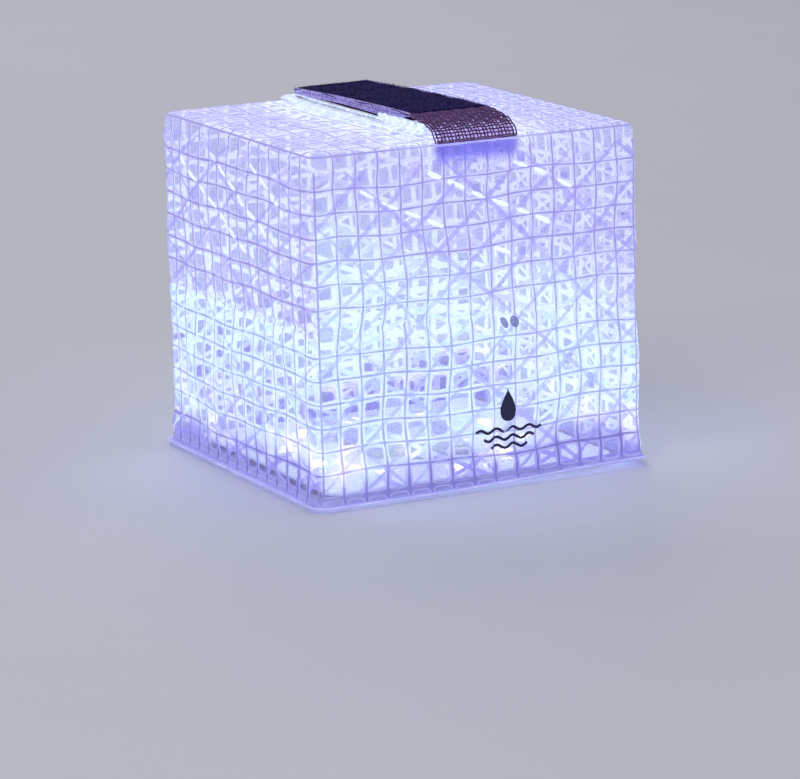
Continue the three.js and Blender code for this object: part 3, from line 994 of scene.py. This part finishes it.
def along_line(line, steps, start=0.0, stop=1.0):
    """Even steps along a line of [y, z] points, with the direction square to it."""
    line = np.asarray(line, float)
    length = np.concatenate([[0], np.cumsum(np.linalg.norm(np.diff(line, axis=0), axis=1))])
    at = np.linspace(start, stop, steps) * length[-1]
    dense = np.linspace(0, length[-1], 400)
    knots = np.column_stack([np.interp(dense, length, line[:, k]) for k in range(2)])
    kernel = np.hanning(41)
    kernel /= kernel.sum()
    padded = np.pad(knots, ((20, 20), (0, 0)), mode="reflect", reflect_type="odd")
    soft = np.column_stack([np.convolve(padded[:, k], kernel, "valid") for k in range(2)])
    points = np.column_stack([np.interp(at, dense, soft[:, k]) for k in range(2)])
    along = np.gradient(points, axis=0)
    along /= np.linalg.norm(along, axis=1, keepdims=True)
    return points, np.column_stack([-along[:, 1], along[:, 0]])


def beside(centre, across, x, off):
    """The points at x, moved off square to a line of [y, z] points."""
    return np.column_stack([x, centre + across * np.reshape(off, (-1, 1))])


FRONT_LINE = np.array([(-54.6, 105.9), (-53.6, 108.6), (-50, 110.5), (-43, 111.6), (-36, 112.4),
                       (-20, 112.3), (-5, 112), (10, 111.7), (30, 110.9), (44, 110.4)]) * MM
BACK_LINE = np.array([(54.6, 105.9), (53.8, 107.1), (51, 107.3), (45, 107), (20, 106.8),
                      (0, 106.8), (-22, 106.8)]) * MM


def tape_mesh(name, line, width, thickness, material, start=0.0, stop=1.0, steps=90, wave=0.0, rise=0.0):
    """A closed tape along a line: soft edges, and a slight waver of its sides."""
    centre, across = along_line(line, steps, start, stop)
    columns = 27
    share = np.linspace(-1, 1, columns)
    edge = np.sqrt(np.clip(1 - np.abs(share) ** 14, 0.02, 1))
    waver = 1 + 0.02 * np.sin(np.arange(steps) * 0.23)[:, None]
    x = share[None, :] * width / 2 * waver
    ripple = wave * np.sin(np.arange(steps)[:, None] * 0.35 + 2 * share[None, :]) * (share[None, :] ** 2)
    layers = []
    for side in (1, -1):
        off = side * thickness / 2 * edge[None, :] + ripple + rise
        layers.append(np.stack([x, *(centre[:, k, None] + across[:, k, None] * off for k in (0, 1))], -1))
    return closed_sheet(name, *layers, material)


def fibres(name, roots, directions, lengths, thickness, material, seed, curl=0.3):
    """Short fibres as thin closed tubes, each bent a little its own way."""
    chance = np.random.default_rng(seed)
    gather = Gather()
    for root, direction, length in zip(roots, directions, lengths):
        bend = chance.normal(0, curl, 3) * length
        steps = np.linspace(0, 1, 4)[:, None]
        line = root + direction * length * steps + bend * steps**2
        points, faces = tube(line, thickness * np.array((1, 0.9, 0.7, 0.35)), sides=3)
        gather.add(points, faces)
    return gather.piece(name, material)


def edge_fringe(name, line, half, count, length, material, seed, start=0.0, stop=1.0, rise=0.0, fall=0.0):
    """Fuzz along both long edges of a tape, falling by a share of its reach."""
    chance = np.random.default_rng(seed)
    centre, across = along_line(line, count, start, stop)
    roots, directions, lengths = [], [], []
    taper = np.interp(np.linspace(0, 1, count), (0, 0.08, 0.7, 1), (0.5, 1, 1, 0.3))
    for side in (-1, 1):
        for (y, z), (ny, nz), reach in zip(centre, across, taper * length):
            jitter = chance.normal(0, 0.12 * MM)
            lift = rise + jitter
            roots.append((side * (half - 0.3 * MM), y + ny * lift, z + nz * lift))
            lean = chance.normal(0, 0.35, 2)
            direction = np.array((side, lean[0], lean[1] * 0.6 - fall))
            directions.append(direction / np.linalg.norm(direction))
            lengths.append(reach * (0.6 + 0.8 * chance.random()))
    return fibres(name, np.array(roots), np.array(directions), lengths, 0.07 * MM, material, seed + 1)


def nap(name, line, half, count, length, material, seed, start, stop, rise):
    """Short pile standing on a tape's face."""
    chance = np.random.default_rng(seed)
    centre, across = along_line(line, 300, start, stop)
    pick = chance.integers(0, 300, count)
    x = chance.uniform(-half + 0.3 * MM, half - 0.3 * MM, count)
    y = centre[pick, 0] + across[pick, 0] * rise + chance.uniform(-0.2, 0.2, count) * MM
    z = centre[pick, 1] + across[pick, 1] * rise
    lean = chance.normal(0, 0.5, (count, 2))
    up = np.sign(rise)
    directions = np.column_stack([lean[:, 0], across[pick, 0] * up + lean[:, 1], across[pick, 1] * up])
    directions /= np.linalg.norm(directions, axis=1, keepdims=True)
    lengths = length * chance.uniform(0.6, 1.3, count)
    return fibres(name, np.column_stack([x, y, z]), directions, lengths, 0.06 * MM, material, seed + 1)


def woven_end(material, stop):
    """The open-weave end of the upper tape: strands over and under each other, with gaps between."""
    gather = Gather()
    half = STRAP_HALF
    steps = 140
    centre, across = along_line(FRONT_LINE, steps, 0.0, stop)
    turns = 11
    pitch = 2 * half / turns
    length = np.concatenate([[0], np.cumsum(np.linalg.norm(np.diff(centre, axis=0), axis=1))])
    weft_count = int(length[-1] / pitch) + 1
    for i in range(turns + 1):
        x = -half + i * pitch
        sway = 0.15 * MM * np.cos(length / pitch * math.pi + i * math.pi)
        for side in (-0.216, 0.216):
            line = beside(centre, across, np.full(steps, x + side * pitch), sway)
            gather.add(*tube(line[::2], 0.25 * MM))
    for j in range(weft_count):
        for side in (-0.24, 0.24):
            at = np.clip((j + side) * pitch, 0, length[-1])
            middle, normal = (np.array([np.interp(at, length, part[:, k]) for k in (0, 1)])
                              for part in (centre, across))
            x = np.linspace(-half, half, 53)
            sway = -0.15 * MM * np.cos(x / pitch * math.pi + j * math.pi)
            gather.add(*tube(beside(middle, normal, x, sway), 0.25 * MM))
    return gather.piece("strap_open_weave", material)


def selvage(name, line, half, drop, material, start=0.0, stop=1.0, count=230):
    """The sewn edge of a tape: a zigzag of thread down both of its sides, over a narrow binding."""
    gather = Gather()
    centre, across = along_line(line, count, start, stop)
    steps = np.arange(count)
    drop = drop * np.interp(steps / count, (0, 0.10, 0.28, 0.6, 1), (0.35, 1.2, 1.45, 1.1, 1))
    zigzag = np.abs((steps / 3.0) % 2 - 1)
    for side in (-1, 1):
        x = side * (half + 0.16 * MM) * np.ones(count)
        for share in (zigzag, 1 - zigzag):
            thread = beside(centre, across, x, 0.35 * MM - drop * share)
            gather.add(*tube(thread, 0.13 * MM, sides=5))
        for level in (0.25 * MM, -drop + 0.3 * MM):
            cord = beside(centre, across, x * 0.99, level)
            gather.add(*tube(cord[::3], 0.16 * MM, sides=5))
    return gather.piece(name, material)


def tape_on(body, node, tape, others):
    fasten((tape, *others), body)
    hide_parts(node)


def shifted(line, node, off):
    """The stretch of a tape's centreline over a node, moved square to the tape by off."""
    low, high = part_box(node)
    inside = line[(line[:, 0] > low.y - 4 * MM) & (line[:, 0] < high.y + 4 * MM)]
    inside = inside[np.argsort(inside[:, 0])]
    y = np.linspace(low.y, high.y, 40)
    return np.column_stack([y, np.interp(y, inside[:, 0], inside[:, 1]) + off])


def strap():
    # The brown weave, lilac thread and pale pile glow with painted light from inside.
    navy = cloth_material("navy_pile", (0.005, 0.001, 0.055), (0.020, 0.007, 0.16), 700.0)
    brown = cloth_material("brown_weave", (0.056, 0.024, 0.085), (0.19, 0.105, 0.27), 900.0,
                           glow=((0.30, 0.12, 0.35), (0.5, 0.3, 0.6), 0.10))
    lilac = cloth_material("lilac_thread", (0.32, 0.24, 0.76), (0.62, 0.54, 0.97), 900.0,
                           glow=((0.45, 0.38, 0.95), (0.8, 0.76, 1.0), 0.35))
    pale = cloth_material("pale_pile", (0.50, 0.56, 0.86), (0.78, 0.84, 0.98), 800.0,
                          glow=((0.66, 0.74, 1.0), (0.85, 0.97, 1.0), 1.1))
    hook = cloth_material("hook_pile", (0.060, 0.010, 0.022), (0.16, 0.035, 0.05), 700.0)

    weave_end = 0.205
    upper = tape_mesh("strap_upper_tape", FRONT_LINE, 2 * STRAP_HALF, 0.9 * MM, navy,
                      start=weave_end, wave=0.2 * MM)
    weave = woven_end(brown, weave_end + 0.02)
    top_nap = nap("strap_upper_nap", FRONT_LINE, STRAP_HALF, 5200, 0.4 * MM, navy, 3,
                  weave_end - 0.015, 1.0, 0.4 * MM)
    edging = selvage("strap_upper_selvage", FRONT_LINE, STRAP_HALF - 0.15 * MM, 1.8 * MM, lilac,
                     start=weave_end - 0.01)
    # A glowing sheet under the open weave: painted light, the film's glow seen through its gaps.
    weave_glow_sheet = tape_mesh("strap_weave_painted_glow", FRONT_LINE, 2 * STRAP_HALF - 1.2 * MM, 0.15 * MM,
                       clear_film_material("lilac_painted_glow", (0.40, 0.30, 0.78), (0.70, 0.60, 0.98), 0.5,
                                           0.55, 900.0), stop=weave_end + 0.02, rise=-0.5 * MM, steps=40)
    hanging = edge_fringe("strap_upper_fringe", FRONT_LINE, STRAP_HALF, 1400, 2.8 * MM, pale, 51,
                          start=0.10, stop=0.40, rise=-1.9 * MM, fall=0.6)
    tape_on("strap_front", "strap_webbing_front", upper,
            [weave, top_nap, edging, weave_glow_sheet, hanging])

    lower = tape_mesh("strap_lower_tape", BACK_LINE, 2 * STRAP_HALF, 0.7 * MM, pale, wave=0.1 * MM)
    fringe = edge_fringe("strap_lower_fringe", BACK_LINE, STRAP_HALF, 1100, 3.4 * MM, pale, 21,
                         start=0.10, rise=0.25 * MM)
    short = edge_fringe("strap_lower_fuzz", BACK_LINE, STRAP_HALF, 1000, 1.5 * MM, lilac, 27,
                        start=0.05, rise=1.15 * MM)
    tape_on("strap_back", "strap_webbing_back", lower, [fringe, short])

    width = 2 * STRAP_HALF - 1.6 * MM
    under = shifted(FRONT_LINE, "hook_tape", -1.25 * MM)
    tape = tape_mesh("hook_tape_piece", under, width, 1.1 * MM, hook, wave=0.08 * MM, steps=60)
    pile = nap("hook_tape_pile", under, STRAP_HALF - 0.5 * MM, 3200, 1.0 * MM, hook, 31,
               0.0, 1.0, -0.5 * MM)
    tape_on("strap_front", "hook_tape", tape, [pile])

    over = shifted(BACK_LINE, "loop_tape", 1.0 * MM)
    tape = tape_mesh("loop_tape_piece", over, width, 0.6 * MM, hook, wave=0.08 * MM, steps=60)
    pile = nap("loop_tape_pile", over, STRAP_HALF - 0.8 * MM, 1400, 0.4 * MM, hook, 41,
               0.0, 1.0, 0.25 * MM)
    bindings = []
    for number, side in enumerate((-1, 1)):
        strip = tape_mesh(f"loop_tape_binding_{number + 1}", over + (0, 0.5 * MM), 1.5 * MM, 0.5 * MM,
                          pale, wave=0.05 * MM, steps=60)
        strip.data.transform(Matrix.Translation((side * (STRAP_HALF - 1.4 * MM), 0, 0)))
        bindings.append(strip)
    line = edge_fringe("loop_tape_edge", over, STRAP_HALF - 0.4 * MM, 260, 0.5 * MM, pale, 43,
                       rise=0.3 * MM)
    tape_on("strap_back", "loop_tape", tape, [pile, line, *bindings])


def patches():
    """The welded patches that hold the strap's ends, with a pressed weld grid."""
    for end in ("front", "back"):
        node = f"strap_patch_{end}"
        low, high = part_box(node)
        side = -1 if end == "front" else 1
        xx, zz = np.meshgrid(np.linspace(low.x, high.x, 57), np.linspace(low.z, high.z - 0.4 * MM, 15))
        dimple = 0.12 * MM * np.cos(xx / (1.1 * MM) * math.pi) * np.cos(zz / (1.1 * MM) * math.pi)
        layers = []
        for face in (1, -1):
            film = np.where(zz < HIGH_FOLD, proud(end, side * -xx, zz), 0) + HALF + 0.35 * MM
            y = side * (np.maximum((abs(low.y) + abs(high.y)) / 2, film) + face * 0.14 * MM + dimple)
            layers.append(np.stack([xx, y, zz], -1))
        # The patch's colour is a painted shadow of the strap's end.
        piece = closed_sheet(f"{node}_film", *layers, PATCH)
        fasten([piece], "top")
        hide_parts(node)


# ---- Small things on the front wall ----


def wall_patch(name, outline, wall, material):
    """A thin printed shape on a wall from an outline of (along, height) points round its middle."""
    outline = np.asarray(outline, float)
    middle = outline.mean(0)
    rings = [middle + (outline - middle) * share for share in (1.0, 0.75, 0.5, 0.25)]
    flat = np.vstack([*rings, middle[None]])
    points, _ = on_wall(wall, flat[:, 0], flat[:, 1], lift=0.2 * MM)
    n = len(outline)
    faces = grid_faces(4, n, wrap=True).tolist()
    faces += [[3 * n + k, 3 * n + (k + 1) % n, 4 * n] for k in range(n)]
    return new_piece(name, points, faces, [material])


def printed_mark():
    """A plain water drop over three waves, printed in dark ink low on the front wall."""
    ink = plain_material("dark_ink", (0.015, 0.012, 0.06), (0.03, 0.025, 0.11), 0.5, 900.0)
    centre = np.array((8 * MM, 25 * MM))
    turn = np.linspace(0, TAU, 40, endpoint=False)
    drop = np.column_stack([np.sin(turn) * np.sin(turn / 2) ** 1.4 * 3.9, 4.9 * np.cos(turn)]) * MM
    pieces = [wall_patch("printed_drop", centre + drop, "front", ink)]
    for k, half in enumerate((11.0, 8.5, 6.0)):
        x = np.linspace(-half, half, 61)
        level = -7.4 - 2.5 * k + 0.6 * np.sin(x * 1.15)
        points, normals = on_wall("front", centre[0] + x * MM, centre[1] + level * MM)
        strips = Strips()
        strips.add(points, normals, 0.85 * MM, 0.10 * MM, 0.20 * MM)
        pieces.append(strips.piece(f"printed_wave_{k + 1}", ink, ink))
    for piece in pieces:
        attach(piece, "front_lower")
        fold_flat(piece, "front")


def vent_holes():
    """Two small breathing holes side by side, just under the crease of the front wall, drawn as dark ovals of
    painted shade.
    """
    dark = plain_material("vent_hole_painted_shade", (0.20, 0.20, 0.58), (0.44, 0.45, 0.86), 0.5, 500.0, Alpha=0.8)
    turn = np.linspace(0, TAU, 24, endpoint=False)
    tilt = 0.5
    lean = np.array(((math.cos(tilt), math.sin(tilt)), (-math.sin(tilt), math.cos(tilt))))
    for k, place in enumerate((7.8, 11.2)):
        oval = np.column_stack([np.cos(turn) * (1.1 + 0.3 * k), np.sin(turn) * 1.9]) @ lean
        piece = wall_patch(f"vent_hole_{k + 1}", (oval + (place, 50.0)) * MM, "front", dark)
        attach(piece, "front_lower")
        fold_flat(piece, "front")


# ---- Module ----


def paint(nodes, material):
    for name in nodes:
        mesh = frame["nodes"][name].data
        mesh.materials.clear()
        mesh.materials.append(material)


def module():
    paint([f"solar_cell_{k}" for k in range(1, 7)], cell_material())
    paint([f"led_{k}" for k in range(1, 11)], lit_material("led_body", (1.0, 0.86, 0.62), 9.0))
    paint(["charge_lamp"], lit_material("lamp_body", (0.7, 1.0, 0.8), 2.0))
    paint(["led_board"], board_material())
    paint(["solar_laminate", "input_capacitor"], plain_material(
        "laminate", (0.80, 0.81, 0.84), (0.92, 0.93, 0.95), 0.4, 120.0))
    paint(["battery_pouch"], plain_material(
        "battery_foil", (0.55, 0.57, 0.60), (0.78, 0.80, 0.83), 0.32, 90.0, Metallic=0.85))
    paint(["charge_chip", "led_driver_chip", "boost_inductor", "tact_switch"], plain_material(
        "chip_case", (0.24, 0.24, 0.34), (0.36, 0.36, 0.46), 0.5, 1500.0))
    paint(["battery_lead_red"], plain_material("lead_red", (0.45, 0.03, 0.03), (0.7, 0.07, 0.06), 0.5))
    paint(["battery_lead_black"], plain_material("lead_black", (0.01, 0.01, 0.01), (0.05, 0.05, 0.05), 0.5))
    paint(["power_button"], plain_material("button_rubber", (0.04, 0.045, 0.06), (0.1, 0.1, 0.13), 0.6))
    paint(["base_sheet"], clear_film_material("base_clear", (0.6, 0.62, 0.85), (0.8, 0.82, 0.95), 0.05, 0.12))


# ---- Stage, lights and camera ----


def stage():
    shader = Shader("pale_floor", Roughness=0.6)
    tone = shader.mix(shader.noise(9.0, 3.0), (0.76, 0.77, 0.84), (0.80, 0.81, 0.87))
    material = shader.made(Base_Color=tone)
    turn = np.linspace(0, TAU, 64, endpoint=False)
    ring = np.column_stack([6 * np.cos(turn), 6 * np.sin(turn), np.full(64, -0.0002)])
    floor = new_piece("floor", ring, [list(range(64))], [material], shade=False)


def soft_light(name, place, target, size, power, colour):
    data = bpy.data.lights.new(name, "AREA")
    data.size = size
    data.energy = power
    data.color = colour
    light = bpy.data.objects.new(name, data)
    light.location = place
    light.rotation_euler = (Vector(target) - Vector(place)).to_track_quat("-Z", "Y").to_euler()
    bpy.context.scene.collection.objects.link(light)


def lights():
    middle = (0, 0, 0.05)
    soft_light("key", (-0.9, -0.9, 1.3), middle, 1.1, 8, (1.0, 0.98, 0.96))
    soft_light("fill", (1.2, -0.6, 0.8), middle, 1.2, 3, (0.92, 0.94, 1.0))
    soft_light("rim", (0.3, 1.3, 1.0), middle, 1.0, 4.5, (0.95, 0.95, 1.0))
    world = bpy.data.worlds.new("studio")
    world.use_nodes = True
    background = world.node_tree.nodes["Background"]
    background.inputs["Color"].default_value = (0.72, 0.74, 0.82, 1)
    background.inputs["Strength"].default_value = 0.36
    bpy.context.scene.world = world
    bpy.context.scene.view_settings.view_transform = "Standard"


def camera():
    azimuth, elevation, roll = (math.radians(a) for a in (-26.1, 12.4, -1.64))
    distance = 12.23 * 2 * HALF
    target = Vector((0, 0.013 * 2 * HALF, 0.187 * 2 * HALF))
    back = Vector((math.sin(azimuth) * math.cos(elevation), -math.cos(azimuth) * math.cos(elevation),
                   math.sin(elevation)))
    data = bpy.data.cameras.new("camera")
    data.sensor_width = 36
    data.lens = 191.6
    item = bpy.data.objects.new("camera", data)
    item.location = target + back * distance
    item.rotation_mode = "QUATERNION"
    item.rotation_quaternion = (-back).to_track_quat("-Z", "Y") @ Quaternion((0, 0, 1), roll)
    bpy.context.scene.collection.objects.link(item)
    bpy.context.scene.camera = item


for build in (camera, stage, lights, film_walls, top_sheet, base_film, patches, strap,
              printed_mark, vent_holes, module):
    build()
